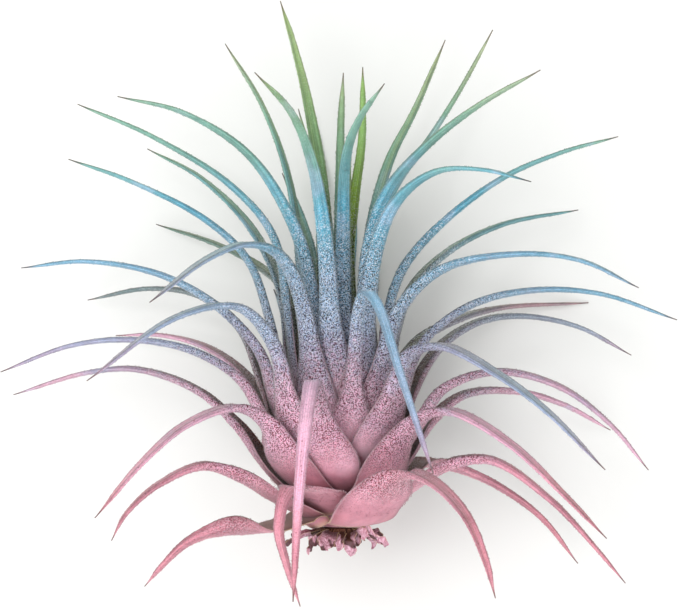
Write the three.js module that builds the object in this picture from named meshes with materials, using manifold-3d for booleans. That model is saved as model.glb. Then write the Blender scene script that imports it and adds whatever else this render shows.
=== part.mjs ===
// Sky plant: an air plant of the Tillandsia kind, lying on its side on a table.
// Units are millimetres and +Z is up. The stem lies along Y, with the growing tip towards +Y.
// A leaf's azimuth turns round the stem, from +X at 0 degrees to +Z at 90 degrees.

import * as THREE from 'three';
import { mergeVertices } from 'three/addons/utils/BufferGeometryUtils.js';
import Module from 'manifold-3d';

const wasm = await Module();
wasm.setup();

// Driving dimensions of the stem
const AXIS_HEIGHT = 26; // stem's centreline above the table
const STEM_FOOT = -0.5;
const STEM_TOP = 24;
const STEM_FOOT_RADIUS = 4.6;
const STEM_TOP_RADIUS = 1.8;
const STEM_SIDES = 16;
const STEM_FOOT_SHARE = 0.8; // flat foot's radius, as a share of the stem's widest radius
const BUD_CORE_TOP = 40; // the rolled heart of the bud, between its leaves
const BUD_CORE_RADIUS = 1.3;
const SEAT_GAP = 0.3; // clearance between a piece and what carries it

// Leaf order: each leaf stands one golden angle on from the leaf below it
const LEAF_COUNT = 53;
const BUD_LEAVES = 3; // youngest leaves, still one body with the stem
const BUD_ROOT_SHARE = 0.4; // their roots start inside the stem, at this share of its radius
const FIRST_AZIMUTH = 206;
const GOLDEN_ANGLE = 137.508;
const LOWEST_ROOT = -0.5;
const HIGHEST_ROOT = 21;

// Sheath and blade, the same for every leaf
const SHEATH_STEP = 4; // height over the root where a long sheath has left the stem
const LONG_SHEATH = 5; // rise from the root to the first free point that makes a sheath long
const OLD_SHEATH_SLOPE = 1.6; // sideways lean of the oldest sheaths on that step
const YOUNG_SHEATH_SLOPE = 0.6;
const OLD_SHEATH_END = 8; // distance along the leaf where the sheath starts to fold into the blade
const YOUNG_SHEATH_END = 14;
const OLD_BLADE_START = 18; // and where it is all blade
const YOUNG_BLADE_START = 36;
const BLADE_HALF_WIDTH = 2.2;
const OLD_FLARE = 5.0; // what the widest part of an old sheath adds to the half width
const YOUNG_FLARE = 1.5;
const FLARE_PLACE = 8;
const OLD_SPREAD_DOWN = 17; // towards the root
const YOUNG_SPREAD_DOWN = 9;
const OLD_SPREAD_UP = 9; // towards the blade
const YOUNG_SPREAD_UP = 8;
const BLADE_TAPER = 0.8;
const TIP_HALF_WIDTH = 0.3;
const OLD_NARROWING = 0.25; // share of the blade's width missing at the root
const YOUNG_NARROWING = 0.4;
const ROOT_LENGTH = 12; // distance over which that share comes back
const CHANNEL_ANGLE = 1.0; // half of the arc that a blade's section bends through, in radians
const SHEATH_THICKNESS = 0.75;
const BLADE_THICKNESS = 1.2;
const TIP_THICKNESS = 0.6;
const THICKEST_PLACE = 20;
const FLATTEST_BEND = 1e-3; // a section bends at least this much, in 1 / mm
const LEAF_SIDES = 8;
const LEAF_SEGMENTS = 16;

// Blades much narrower or broader than the rest, as a share of the usual breadth, by leaf order
const BLADE_BREADTHS = { 6: 0.6, 14: 0.8, 27: 0.6, 47: 1.3, 48: 0.8, 49: 0.85, 52: 0.7 };

// Blades that turn about their own length, in degrees, by leaf order
const BLADE_ROLLS = { 0: 25 };

// How the table bends the leaves that reach it
const TABLE_CLEARANCE = 0.5; // centreline of a pressed leaf over the table
const TABLE_SOFTNESS = 1.5;
const TABLE_FREE = 8; // softnesses above the table from which it has no effect
const TABLE_FLATTENING = 0.75; // share of a blade's channel that lying on the table takes away
const TABLE_TRIM = 0.4; // depth of the flat spots where the leaves bear on the table

const OLD_LEAF_COLOR = '#e58ea6';
const YOUNG_LEAF_COLOR = '#6f9ec4';
const STUB_COLOR = '#6b4238';
const SCALE_COLOR = '#c98f9a';

const RADIAN = Math.PI / 180;
const ALONG = new THREE.Vector3(0, 1, 0);

// One row for each leaf, oldest first: the root's shift from its golden-angle place and the tip's
// veer in degrees, then the free path as [reach from the stem's centreline, rise over its foot].
const LEAVES = [
  [-50, 22, [[7.4, 0.9], [11.5, 0], [16, -1], [20.3, -0.9], [24.3, -1.6], [27.6, -3.4], [30.8, -6.8], [34.2, -11]]],
  [-8, -10, [[9, 1], [14, 5], [21, 9.3], [29, 8.5], [36.5, 3.5], [39.5, -3.5], [39.5, -9.5]]],
  [0, -5, [[12, 2.5], [20, 5], [27, 9], [32, 15], [35, 23]]],
  [3, 14, [[8.5, 2.3], [13.2, 4.8], [18.5, 8], [25, 10.3], [33, 7], [38, 2], [40, -2.5]]],
  [-4, -6, [[9, 3.3], [14.5, 7], [19.5, 10], [26.5, 11], [36.5, 4.5], [45, -4.5], [49.5, -10]]],
  [0, 14, [[9, 4], [15, 7], [22, 9.5], [29, 11], [36, 14], [41, 18]]],
  [14, 12, [[8.3, 4.2], [12.4, 6.3], [19.5, 6.6], [21, 1], [17, -5.5], [11.5, -13.5]]],
  [2, 13, [[10, 6], [16, 9.3], [24.5, 8.5], [33, 5], [41, -1], [46.5, -9]]],
  [2, 2, [[14.5, 11], [18.5, 16.5], [25, 22.5], [36, 26.5], [45.5, 26], [59.5, 22]]],
  [-6, -9, [[13, 12.5], [17.5, 18], [24, 20], [36, 15], [45.5, 7], [52, 0]]],
  [0, 4, [[14, 13], [20, 19], [26, 26], [30, 36], [33, 46], [36, 55]]],
  [5, 10, [[14, 12.5], [17, 17.5], [22.5, 20.5], [32.5, 18], [40, 12], [47.5, 3]]],
  [-11, -10, [[17, 17.5], [23, 22], [33, 22.5], [43, 20], [55, 15]]],
  [-6, -7, [[15.5, 19], [20, 25], [27.5, 30], [37, 32.5], [45.5, 32.5]]],
  [22, -2, [[13, 15], [18, 22.5], [21.5, 25], [25, 22], [33, 8], [40, -9]]],
  [0, 2, [[13, 15], [20, 21], [27, 26], [33, 31]]],
  [2, 7, [[14, 18], [18, 25], [26, 30], [36.5, 32], [47, 31], [59, 26.5]]],
  [-10, -14, [[14.5, 17], [19, 23.5], [28, 26.5], [38.5, 24], [47, 17.5], [53.5, 9.5]]],
  [0, 2, [[13, 18], [20, 26], [28, 33], [36, 38], [42, 41]]],
  [17, 22, [[15, 22], [17, 30.5], [24, 37.5], [34, 36], [47.5, 25.5]]],
  [4, 5, [[14, 23], [19, 30.5], [26.5, 35], [34.5, 36], [45, 34], [54.5, 29]]],
  [2, 6, [[15, 24.5], [19, 33.5], [27, 39.5], [37.5, 41], [52, 39]]],
  [-13, -10, [[13.5, 21], [17, 29], [24, 31], [36, 26.5], [45, 20.5], [54, 11.5]]],
  [0, -2, [[12.5, 21], [18, 30], [26, 39], [31, 47], [34, 54]]],
  [14, 16, [[12.5, 21.5], [15, 29.5], [21.5, 37], [31.5, 43], [44, 45.5], [55.5, 44.5]]],
  [0, -5, [[10.5, 18], [13, 28], [15.5, 32.5], [23, 38], [33, 40.5], [45, 40], [58.5, 35.5]]],
  [-5, -10, [[11.8, 28], [14.5, 40.5], [20.5, 45], [31, 49.5], [42, 53]]],
  [-14, -12, [[13.5, 30], [16.5, 37.5], [19.5, 40], [23.5, 38], [31, 26.5], [38.5, 11]]],
  [4, 7, [[10.5, 21], [14, 26.5], [18.5, 31.5], [26, 35], [36.5, 37.5], [55, 38.5]]],
  [-4, -6, [[12.5, 35], [16.5, 46], [24, 53], [37, 59.5], [47.5, 63]]],
  [3, -27, [[10.5, 27], [14, 37], [22.5, 44], [36, 46.5], [44.5, 45.5], [52.5, 41]]],
  [0, -2, [[11, 29], [15.5, 42], [21, 54], [27, 65], [32, 74]]],
  [-2, 4, [[10, 31], [14, 41.5], [19, 46.5], [27, 48], [36.5, 45.5], [49.5, 38.5]]],
  [-6, -7, [[10.5, 33.5], [13.5, 41], [20.5, 47.5], [31.5, 52.5], [48, 55.5]]],
  [-2, -3, [[10, 28], [12.5, 41.5], [18.5, 52], [28.5, 61], [39, 66.5]]],
  [-11, -16, [[9.5, 33.5], [13, 47], [18.5, 55], [29, 60], [38, 60], [44.5, 58]]],
  [0, -3, [[10, 34], [13, 44], [18, 52], [22, 58]]],
  [14, 12, [[9.5, 36], [12, 50], [19.5, 59], [33, 67.5], [46.5, 73.5]]],
  [-7, -13, [[8.5, 35.5], [11.5, 44.5], [18.5, 52.5], [28.5, 60], [38.5, 64.5], [48.5, 67.5]]],
  [0, -7, [[9, 37], [12, 48], [16, 56], [19, 62]]],
  [-2, 24, [[8, 34], [11.5, 51], [15, 62.5], [18.5, 70.5], [23.5, 77]]],
  [-25, 30, [[8.3, 32], [9, 44], [10.5, 55], [13, 64], [17, 73], [21, 85.5]]],
  [1, 6, [[7, 36], [8, 51], [10, 62], [14.5, 73.5], [21.5, 84.5]]],
  [-3, -16, [[7, 30], [8, 47.5], [12, 57], [20, 64.5], [30.5, 71.5], [40, 77]]],
  [0, 4, [[5.8, 32], [6.3, 44], [8.5, 54], [10.5, 64]]],
  [4, 12, [[6, 33], [8, 45.5], [12, 54.5], [19.5, 64], [31, 70.5], [41.5, 73]]],
  [3, 10, [[5.7, 33], [5.8, 49.5], [10, 59], [16, 67.5], [21.5, 76], [27, 85.5]]],
  [0, -1, [[4.3, 32], [4.5, 49.5], [5.5, 61.5], [8.5, 75], [11.5, 84.5], [14.5, 92.5]]],
  [0, -16, [[4.8, 35], [4.8, 49.5], [6.5, 63], [14, 69.5], [21, 75]]],
  [0, -12, [[3.8, 32], [2.5, 46], [4.5, 57], [7.5, 67.5], [9, 80.5]]],
  [5, 14, [[3, 38], [3.5, 53.5], [6, 67], [7.5, 72.5]]],
  [12, 15, [[2, 40], [1.5, 54.5], [2.5, 65], [4, 69]]],
  [8, 16, [[1.2, 38], [1.5, 52], [2, 68], [3, 79]]],
];

// Dead root stub under the stem, and the dry scales round it
const STUB_RADII = [3.2, 3.5, 2.7, 2.2, 1.2]; // from its top to its torn end
const STUB_LENGTH = 3.4;
const STUB_SIDES = 9;
const STUB_RIBS = 3;
const STUB_ROUGHNESS = 0.12; // how far its ribs stand out, as a share of the radius
const STUB_TWIST = 5; // of the ribs from its top to its torn end, in radians
const SCALE_THICKNESS = 0.6;
const SCALE_SEAT = -1.4; // rise of the scales' roots
const SCALE_BEND = 0.22; // of a scale's section, in 1 / mm
const SCALE_SEGMENTS = 6;
const SCALE_DROOP = [0.6, 1, 1.4]; // share of its angle below the level at root, middle and tip
const SCALE_ROOT_TWIST = 0.3; // share of its twist that its root already has
const SCALE_ROOT_WIDTH = 0.8; // its outline, as shares of the half width
const SCALE_TIP_WIDTH = 0.15;
const SCALE_BELLY = 0.3; // what the broadest part adds

// One row for each scale: azimuth, length, half width, angle below the level, twist in degrees
const SCALES = [
  [146, 8.5, 1.5, 10, 25],
  [111, 5.0, 1.6, 28, -35],
  [70, 3.6, 1.3, 58, 35],
  [38, 6.0, 2.2, 12, -40],
  [318, 5.0, 2.0, 30, 20],
  [246, 5.5, 2.0, 22, -15],
];

const { lerp, smoothstep } = THREE.MathUtils;

function stemRadius(height) {
  const share = THREE.MathUtils.clamp(height / STEM_TOP, 0, 1);
  return lerp(STEM_FOOT_RADIUS, STEM_TOP_RADIUS, share);
}

// A closed triangle mesh with shared corners and no collapsed triangles
function closedGeometry(geometry) {
  geometry.deleteAttribute('normal');
  geometry.deleteAttribute('uv');
  const merged = mergeVertices(geometry, 1e-4);
  const source = merged.getIndex().array;
  const kept = [];
  for (let i = 0; i < source.length; i += 3) {
    const [a, b, c] = source.slice(i, i + 3);
    if (a !== b && b !== c && c !== a) kept.push(a, b, c);
  }
  merged.setIndex(kept);
  merged.computeVertexNormals();
  return merged;
}

function toSolid(geometry) {
  const mesh = new wasm.Mesh({
    numProp: 3,
    vertProperties: new Float32Array(geometry.getAttribute('position').array),
    triVerts: new Uint32Array(geometry.getIndex().array),
  });
  return new wasm.Manifold(mesh);
}

function toGeometry(solid) {
  const mesh = solid.getMesh();
  const geometry = new THREE.BufferGeometry();
  geometry.setAttribute('position', new THREE.BufferAttribute(mesh.vertProperties, 3));
  geometry.setIndex(new THREE.BufferAttribute(mesh.triVerts, 1));
  return closedGeometry(geometry);
}

// Point at a reach, a height along the stem and an azimuth, raised softly where the table is
function placed(reach, height, azimuth) {
  const angle = azimuth * RADIAN;
  const over = (AXIS_HEIGHT + reach * Math.sin(angle) - TABLE_CLEARANCE) / TABLE_SOFTNESS;
  const softened = over > TABLE_FREE ? over : Math.log1p(Math.exp(over));
  const level = TABLE_CLEARANCE + TABLE_SOFTNESS * softened;
  return new THREE.Vector3(reach * Math.cos(angle), height, level);
}

// How far the table turns a leaf flat at a level: 0 in the air, 1 on the table
function pressedShare(level) {
  const over = (level - TABLE_CLEARANCE) / TABLE_SOFTNESS;
  return THREE.MathUtils.clamp(Math.exp(-over), 0, 1);
}

// Control points of one leaf's centreline, with the azimuth at each
function leafControls(order) {
  const [shift, veer, free] = LEAVES[order];
  const age = order / (LEAF_COUNT - 1);
  const rootAzimuth = FIRST_AZIMUTH - GOLDEN_ANGLE * order + shift;
  const rootHeight = lerp(LOWEST_ROOT, HIGHEST_ROOT, age);
  const seated = stemRadius(rootHeight) + SEAT_GAP + SHEATH_THICKNESS / 2;
  const sunk = stemRadius(rootHeight) * BUD_ROOT_SHARE;
  const rootReach = order < LEAF_COUNT - BUD_LEAVES ? seated : sunk;
  const points = [placed(rootReach, rootHeight, rootAzimuth)];
  const azimuths = [rootAzimuth];
  if (free[0][1] - rootHeight > LONG_SHEATH) {
    const lean = SHEATH_STEP * lerp(OLD_SHEATH_SLOPE, YOUNG_SHEATH_SLOPE, age);
    points.push(placed(rootReach + lean, rootHeight + SHEATH_STEP, rootAzimuth));
    azimuths.push(rootAzimuth);
  }
  free.forEach(([reach, rise], i) => {
    const share = i / (free.length - 1);
    const azimuth = rootAzimuth + veer * share * share;
    points.push(placed(reach, rise, azimuth));
    azimuths.push(azimuth);
  });
  return { points, azimuths };
}

// Half width, thickness and share of blade of a leaf at a distance along it
function leafSection(distance, length, age, breadth) {
  const share = distance / length;
  const narrowing = lerp(OLD_NARROWING, YOUNG_NARROWING, age);
  const opened = 1 - narrowing * (1 - smoothstep(distance, 0, ROOT_LENGTH));
  const blade = BLADE_HALF_WIDTH * Math.max(0, 1 - share) ** BLADE_TAPER * opened * breadth;
  const flare = lerp(OLD_FLARE, YOUNG_FLARE, age);
  const spreadDown = lerp(OLD_SPREAD_DOWN, YOUNG_SPREAD_DOWN, age);
  const spreadUp = lerp(OLD_SPREAD_UP, YOUNG_SPREAD_UP, age) * Math.min(1, breadth);
  const spread = distance < FLARE_PLACE ? spreadDown : spreadUp;
  const bulge = flare * Math.exp(-(((distance - FLARE_PLACE) / spread) ** 2));
  const sheathEnd = lerp(OLD_SHEATH_END, YOUNG_SHEATH_END, age);
  const bladeStart = lerp(OLD_BLADE_START, YOUNG_BLADE_START, age);
  const thickening = smoothstep(distance, sheathEnd, THICKEST_PLACE);
  const thinning = smoothstep(distance, THICKEST_PLACE, length);
  return {
    halfWidth: TIP_HALF_WIDTH + blade + bulge,
    thickness: lerp(lerp(SHEATH_THICKNESS, BLADE_THICKNESS, thickening), TIP_THICKNESS, thinning),
    bladeShare: smoothstep(distance, sheathEnd, bladeStart),
  };
}

// A solid swept along a curve in a number of segments. sectionAt(distance, length, along, middle,
// tangent) gives at each place the half width, the thickness, the bend of the section in 1 / mm
// and the direction across it.
function sweptBlade(curve, segments, sectionAt) {
  const geometry = new THREE.CylinderGeometry(1, 1, 1, LEAF_SIDES, segments);
  const closed = closedGeometry(geometry);
  const position = closed.getAttribute('position');
  const length = curve.getLength();
  for (let i = 0; i < position.count; i += 1) {
    const along = THREE.MathUtils.clamp(position.getY(i) + 0.5, 0, 1);
    const middle = curve.getPointAt(along);
    const tangent = curve.getTangentAt(along);
    const section = sectionAt(along * length, length, along, middle, tangent);
    const radius = 1 / Math.max(section.bend, FLATTEST_BEND);
    const angle = position.getX(i) * section.halfWidth / radius;
    const inward = position.getZ(i) * section.thickness / 2;
    const across = section.across.addScaledVector(tangent, -section.across.dot(tangent)).normalize();
    const inside = new THREE.Vector3().crossVectors(across, tangent);
    middle.addScaledVector(across, (radius - inward) * Math.sin(angle));
    middle.addScaledVector(inside, radius - (radius - inward) * Math.cos(angle));
    position.setXYZ(i, middle.x, middle.y, Math.max(middle.z, TABLE_TRIM));
  }
  closed.computeVertexNormals();
  return closed;
}

function leafGeometry(order) {
  const { points, azimuths } = leafControls(order);
  const curve = new THREE.CatmullRomCurve3(points, false, 'centripetal');
  const age = order / (LEAF_COUNT - 1);
  const breadth = BLADE_BREADTHS[order] ?? 1;
  const roll = (BLADE_ROLLS[order] ?? 0) * RADIAN;
  return sweptBlade(curve, LEAF_SEGMENTS, (distance, length, along, middle, tangent) => {
    const { halfWidth, thickness, bladeShare } = leafSection(distance, length, age, breadth);
    const place = curve.getUtoTmapping(along) * (azimuths.length - 1);
    const before = Math.min(Math.floor(place), azimuths.length - 2);
    const azimuth = lerp(azimuths[before], azimuths[before + 1], place - before) * RADIAN;
    const across = new THREE.Vector3(-Math.sin(azimuth), 0, Math.cos(azimuth));
    across.applyAxisAngle(tangent, roll * bladeShare);
    const pressed = pressedShare(middle.z);
    across.z *= 1 - pressed;
    const reach = Math.hypot(middle.x, middle.z - AXIS_HEIGHT);
    const sheathBend = Math.max(0, tangent.dot(ALONG)) / Math.max(reach, halfWidth);
    const bladeBend = Math.min(CHANNEL_ANGLE / halfWidth, 1 / thickness);
    const bend = lerp(sheathBend, bladeBend, bladeShare) * (1 - TABLE_FLATTENING * pressed);
    return { halfWidth, thickness, bend, across };
  });
}

function stemGeometry() {
  const profile = [
    new THREE.Vector2(0, STEM_FOOT),
    new THREE.Vector2(STEM_FOOT_RADIUS * STEM_FOOT_SHARE, STEM_FOOT),
    new THREE.Vector2(STEM_FOOT_RADIUS, 0),
    new THREE.Vector2(STEM_TOP_RADIUS, STEM_TOP),
    new THREE.Vector2(BUD_CORE_RADIUS, BUD_CORE_TOP),
    new THREE.Vector2(0, BUD_CORE_TOP + BUD_CORE_RADIUS),
  ];
  const geometry = new THREE.LatheGeometry(profile, STEM_SIDES);
  geometry.translate(0, 0, AXIS_HEIGHT);
  return closedGeometry(geometry);
}

// Short woody stub with shallow ribs, torn off at its end
function stubGeometry() {
  const top = STEM_FOOT - SEAT_GAP;
  const rings = STUB_RADII.length - 1;
  const geometry = new THREE.CylinderGeometry(1, 1, 1, STUB_SIDES, rings);
  const closed = closedGeometry(geometry);
  const position = closed.getAttribute('position');
  for (let i = 0; i < position.count; i += 1) {
    const down = 0.5 - position.getY(i);
    const round = Math.atan2(position.getZ(i), position.getX(i));
    const swell = 1 + STUB_ROUGHNESS * Math.sin(STUB_RIBS * round + STUB_TWIST * down);
    const radius = STUB_RADII[Math.round(down * rings)] * swell;
    const level = AXIS_HEIGHT + position.getZ(i) * radius;
    position.setXYZ(i, position.getX(i) * radius, top - STUB_LENGTH * down, level);
  }
  closed.computeVertexNormals();
  return closed;
}

// Papery scale that starts just clear of the stub, runs outwards and curls down at its tip
function scaleGeometry([azimuth, length, halfWidth, droop, twist]) {
  const angle = azimuth * RADIAN;
  const outward = new THREE.Vector3(Math.cos(angle), 0, Math.sin(angle));
  const sideways = new THREE.Vector3(-Math.sin(angle), 0, Math.cos(angle));
  const start = STUB_RADII[1] * (1 + STUB_ROUGHNESS) + SEAT_GAP;
  const points = SCALE_DROOP.map((part, i) => {
    const share = i / (SCALE_DROOP.length - 1);
    const fall = droop * RADIAN * part;
    const point = outward.clone().multiplyScalar(start + length * share * Math.cos(fall));
    point.y = SCALE_SEAT - length * share * Math.sin(fall);
    point.z += AXIS_HEIGHT;
    return point;
  });
  const curve = new THREE.CatmullRomCurve3(points, false, 'centripetal');
  return sweptBlade(curve, SCALE_SEGMENTS, (distance, whole, along, middle, tangent) => {
    const turn = twist * RADIAN * (SCALE_ROOT_TWIST + along);
    const across = sideways.clone().applyAxisAngle(tangent, turn);
    const straight = lerp(SCALE_ROOT_WIDTH, SCALE_TIP_WIDTH, along);
    const outline = straight + SCALE_BELLY * Math.sin(Math.PI * along);
    return {
      halfWidth: halfWidth * outline,
      thickness: SCALE_THICKNESS,
      bend: SCALE_BEND,
      across,
    };
  });
}

const plant = new THREE.Group();

function addPiece(name, geometry, material) {
  const mesh = new THREE.Mesh(geometry, material);
  mesh.name = name;
  plant.add(mesh);
}

function plainMaterial(color, roughness) {
  return new THREE.MeshStandardMaterial({ color, roughness, metalness: 0 });
}

function leafMaterial(age) {
  const old = new THREE.Color(OLD_LEAF_COLOR);
  return plainMaterial(old.lerp(new THREE.Color(YOUNG_LEAF_COLOR), smoothstep(age, 0.2, 0.8)), 0.75);
}

for (let order = 0; order < LEAF_COUNT - BUD_LEAVES; order += 1) {
  const name = `leaf_${String(order + 1).padStart(2, '0')}`;
  addPiece(name, leafGeometry(order), leafMaterial(order / LEAF_COUNT));
}

let bud = toSolid(stemGeometry());
for (let order = LEAF_COUNT - BUD_LEAVES; order < LEAF_COUNT; order += 1) {
  bud = bud.add(toSolid(leafGeometry(order)));
}
addPiece('stem', toGeometry(bud), leafMaterial(1));

addPiece('root_stub', stubGeometry(), plainMaterial(STUB_COLOR, 0.9));
SCALES.forEach((scale, i) => {
  addPiece(`dry_scale_${i + 1}`, scaleGeometry(scale), plainMaterial(SCALE_COLOR, 0.8));
});

const box = new THREE.Box3().setFromObject(plant);
const centre = box.getCenter(new THREE.Vector3());
for (const mesh of plant.children) mesh.geometry.translate(-centre.x, -centre.y, -box.min.z);

export default plant;
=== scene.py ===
"""Visual model of a sky plant, an air plant that lies on its side on a pale table.

Sizes in the dataclasses are millimetres, and every mesh is written in metres. The stem lies
along +Y. A leaf's azimuth turns round the stem, from +X at 0 degrees to +Z at 90 degrees.
"""

import logging
import math
import random
from bisect import bisect_right
from collections.abc import Iterable
from dataclasses import dataclass, field, replace
from enum import Enum
from functools import partial, reduce

import bmesh
import bpy
from mathutils import Matrix, Vector, noise


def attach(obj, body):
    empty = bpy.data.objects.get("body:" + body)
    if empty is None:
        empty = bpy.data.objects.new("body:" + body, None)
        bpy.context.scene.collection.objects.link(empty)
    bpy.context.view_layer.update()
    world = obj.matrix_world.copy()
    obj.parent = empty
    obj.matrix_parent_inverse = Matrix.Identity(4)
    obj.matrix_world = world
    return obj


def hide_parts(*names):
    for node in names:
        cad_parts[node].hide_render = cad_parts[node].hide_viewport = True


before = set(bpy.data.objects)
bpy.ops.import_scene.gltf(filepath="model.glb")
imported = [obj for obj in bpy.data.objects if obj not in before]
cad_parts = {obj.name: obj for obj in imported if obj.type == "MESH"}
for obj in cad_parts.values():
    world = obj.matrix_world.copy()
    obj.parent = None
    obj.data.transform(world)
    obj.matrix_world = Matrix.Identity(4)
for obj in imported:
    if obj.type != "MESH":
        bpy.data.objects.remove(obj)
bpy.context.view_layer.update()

LOG = logging.getLogger("sky_plant")
MM = 0.001
LIFT_UNIT = 10.0  # millimetres of lift that a vertex value of 1 stands for
BODY = "root"
Shape = bmesh.types.BMesh
Material = bpy.types.Material
Socket = bpy.types.NodeSocket
Pair = tuple[float, float]
Triple = tuple[float, float, float]
Limits = tuple[float, ...]
Color = tuple[float, float, float, float]
Stops = tuple[tuple[float, str], ...]
Found = dict[str, Socket]

# One row for each leaf, oldest first: the root's shift from its golden-angle place and the
# tip's veer in degrees, then the free path as (reach from the stem, rise over its foot).
LEAF_ROWS = (
    (-50, 22, ((7.4, 0.9), (11.5, 0), (16, -1), (20.3, -0.9), (24.3, -1.6), (27.6, -3.4),
               (30.8, -6.8), (34.2, -11))),
    (-8, -10, ((9, 1), (14, 5), (21, 9.3), (29, 8.5), (36.5, 3.5), (39.5, -3.5), (39.5, -9.5))),
    (0, -5, ((12, 2.5), (20, 5), (27, 9), (32, 15), (35, 23))),
    (3, 14, ((8.5, 2.3), (13.2, 4.8), (18.5, 8), (25, 10.3), (33, 7), (38, 2), (40, -2.5))),
    (-4, -6, ((9, 3.3), (14.5, 7), (19.5, 10), (26.5, 11), (36.5, 4.5), (45, -4.5), (49.5, -10))),
    (0, 14, ((9, 4), (15, 7), (22, 9.5), (29, 11), (36, 14), (41, 18))),
    (14, 12, ((8.3, 4.2), (12.4, 6.3), (19.5, 6.6), (21, 1), (17, -5.5), (11.5, -13.5))),
    (2, 13, ((10, 6), (16, 9.3), (24.5, 8.5), (33, 5), (41, -1), (46.5, -9))),
    (2, 2, ((14.5, 11), (18.5, 16.5), (25, 22.5), (36, 26.5), (45.5, 26), (59.5, 22))),
    (-6, -9, ((13, 12.5), (17.5, 18), (24, 20), (36, 15), (45.5, 7), (52, 0))),
    (0, 4, ((14, 13), (20, 19), (26, 26), (30, 36), (33, 46), (36, 55))),
    (5, 10, ((14, 12.5), (17, 17.5), (22.5, 20.5), (32.5, 18), (40, 12), (47.5, 3))),
    (-11, -10, ((17, 17.5), (23, 22), (33, 22.5), (43, 20), (55, 15))),
    (-6, -7, ((15.5, 19), (20, 25), (27.5, 30), (37, 32.5), (45.5, 32.5))),
    (22, -2, ((13, 15), (18, 22.5), (21.5, 25), (25, 22), (33, 8), (40, -9))),
    (0, 2, ((13, 15), (20, 21), (27, 26), (33, 31))),
    (2, 7, ((14, 18), (18, 25), (26, 30), (36.5, 32), (47, 31), (59, 26.5))),
    (-10, -14, ((14.5, 17), (19, 23.5), (28, 26.5), (38.5, 24), (47, 17.5), (53.5, 9.5))),
    (0, 2, ((13, 18), (20, 26), (28, 33), (36, 38), (42, 41))),
    (17, 22, ((15, 22), (17, 30.5), (24, 37.5), (34, 36), (47.5, 25.5))),
    (4, 5, ((14, 23), (19, 30.5), (26.5, 35), (34.5, 36), (45, 34), (54.5, 29))),
    (2, 6, ((15, 24.5), (19, 33.5), (27, 39.5), (37.5, 41), (52, 39))),
    (-13, -10, ((13.5, 21), (17, 29), (24, 31), (36, 26.5), (45, 20.5), (54, 11.5))),
    (0, -2, ((12.5, 21), (18, 30), (26, 39), (31, 47), (34, 54))),
    (14, 16, ((12.5, 21.5), (15, 29.5), (21.5, 37), (31.5, 43), (44, 45.5), (55.5, 44.5))),
    (0, -5, ((10.5, 18), (13, 28), (15.5, 32.5), (23, 38), (33, 40.5), (45, 40), (58.5, 35.5))),
    (-5, -10, ((11.8, 28), (14.5, 40.5), (20.5, 45), (31, 49.5), (42, 53))),
    (-14, -12, ((13.5, 30), (16.5, 37.5), (19.5, 40), (23.5, 38), (31, 26.5), (38.5, 11))),
    (4, 7, ((10.5, 21), (14, 26.5), (18.5, 31.5), (26, 35), (36.5, 37.5), (55, 38.5))),
    (-4, -6, ((12.5, 35), (16.5, 46), (24, 53), (37, 59.5), (47.5, 63))),
    (3, -27, ((10.5, 27), (14, 37), (22.5, 44), (36, 46.5), (44.5, 45.5), (52.5, 41))),
    (0, -2, ((11, 29), (15.5, 42), (21, 54), (27, 65), (32, 74))),
    (-2, 4, ((10, 31), (14, 41.5), (19, 46.5), (27, 48), (36.5, 45.5), (49.5, 38.5))),
    (-6, -7, ((10.5, 33.5), (13.5, 41), (20.5, 47.5), (31.5, 52.5), (48, 55.5))),
    (-2, -3, ((10, 28), (12.5, 41.5), (18.5, 52), (28.5, 61), (39, 66.5))),
    (-11, -16, ((9.5, 33.5), (13, 47), (18.5, 55), (29, 60), (38, 60), (44.5, 58))),
    (0, -3, ((10, 34), (13, 44), (18, 52), (22, 58))),
    (14, 12, ((9.5, 36), (12, 50), (19.5, 59), (33, 67.5), (46.5, 73.5))),
    (-7, -13, ((8.5, 35.5), (11.5, 44.5), (18.5, 52.5), (28.5, 60), (38.5, 64.5), (48.5, 67.5))),
    (0, -7, ((9, 37), (12, 48), (16, 56), (19, 62))),
    (-2, 24, ((8, 34), (11.5, 51), (15, 62.5), (18.5, 70.5), (23.5, 77))),
    (-25, 30, ((8.3, 32), (9, 44), (10.5, 55), (13, 64), (17, 73), (21, 85.5))),
    (1, 6, ((7, 36), (8, 51), (10, 62), (14.5, 73.5), (21.5, 84.5))),
    (-3, -16, ((7, 30), (8, 47.5), (12, 57), (20, 64.5), (30.5, 71.5), (40, 77))),
    (0, 4, ((5.8, 32), (6.3, 44), (8.5, 54), (10.5, 64))),
    (4, 12, ((6, 33), (8, 45.5), (12, 54.5), (19.5, 64), (31, 70.5), (41.5, 73))),
    (3, 10, ((5.7, 33), (5.8, 49.5), (10, 59), (16, 67.5), (21.5, 76), (27, 85.5))),
    (0, -1, ((4.3, 32), (4.5, 49.5), (5.5, 61.5), (8.5, 75), (11.5, 84.5), (14.5, 92.5))),
    (0, -16, ((4.8, 35), (4.8, 49.5), (6.5, 63), (14, 69.5), (21, 75))),
    (0, -12, ((3.8, 32), (2.5, 46), (4.5, 57), (7.5, 67.5), (9, 80.5))),
    (5, 14, ((3, 38), (3.5, 53.5), (6, 67), (7.5, 72.5))),
    (12, 15, ((2, 40), (1.5, 54.5), (2.5, 65), (4, 69))),
    (8, 16, ((1.2, 38), (1.5, 52), (2, 68), (3, 79))),
)

# One row for each dry scale: azimuth, length, half width, angle below the level and twist
SCALE_ROWS = (
    (146, 8.5, 1.5, 10, 25),
    (111, 5.0, 1.6, 28, -35),
    (70, 3.6, 1.3, 58, 35),
    (38, 6.0, 2.2, 12, -40),
    (318, 5.0, 2.0, 30, 20),
    (246, 5.5, 2.0, 22, -15),
)

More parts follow.
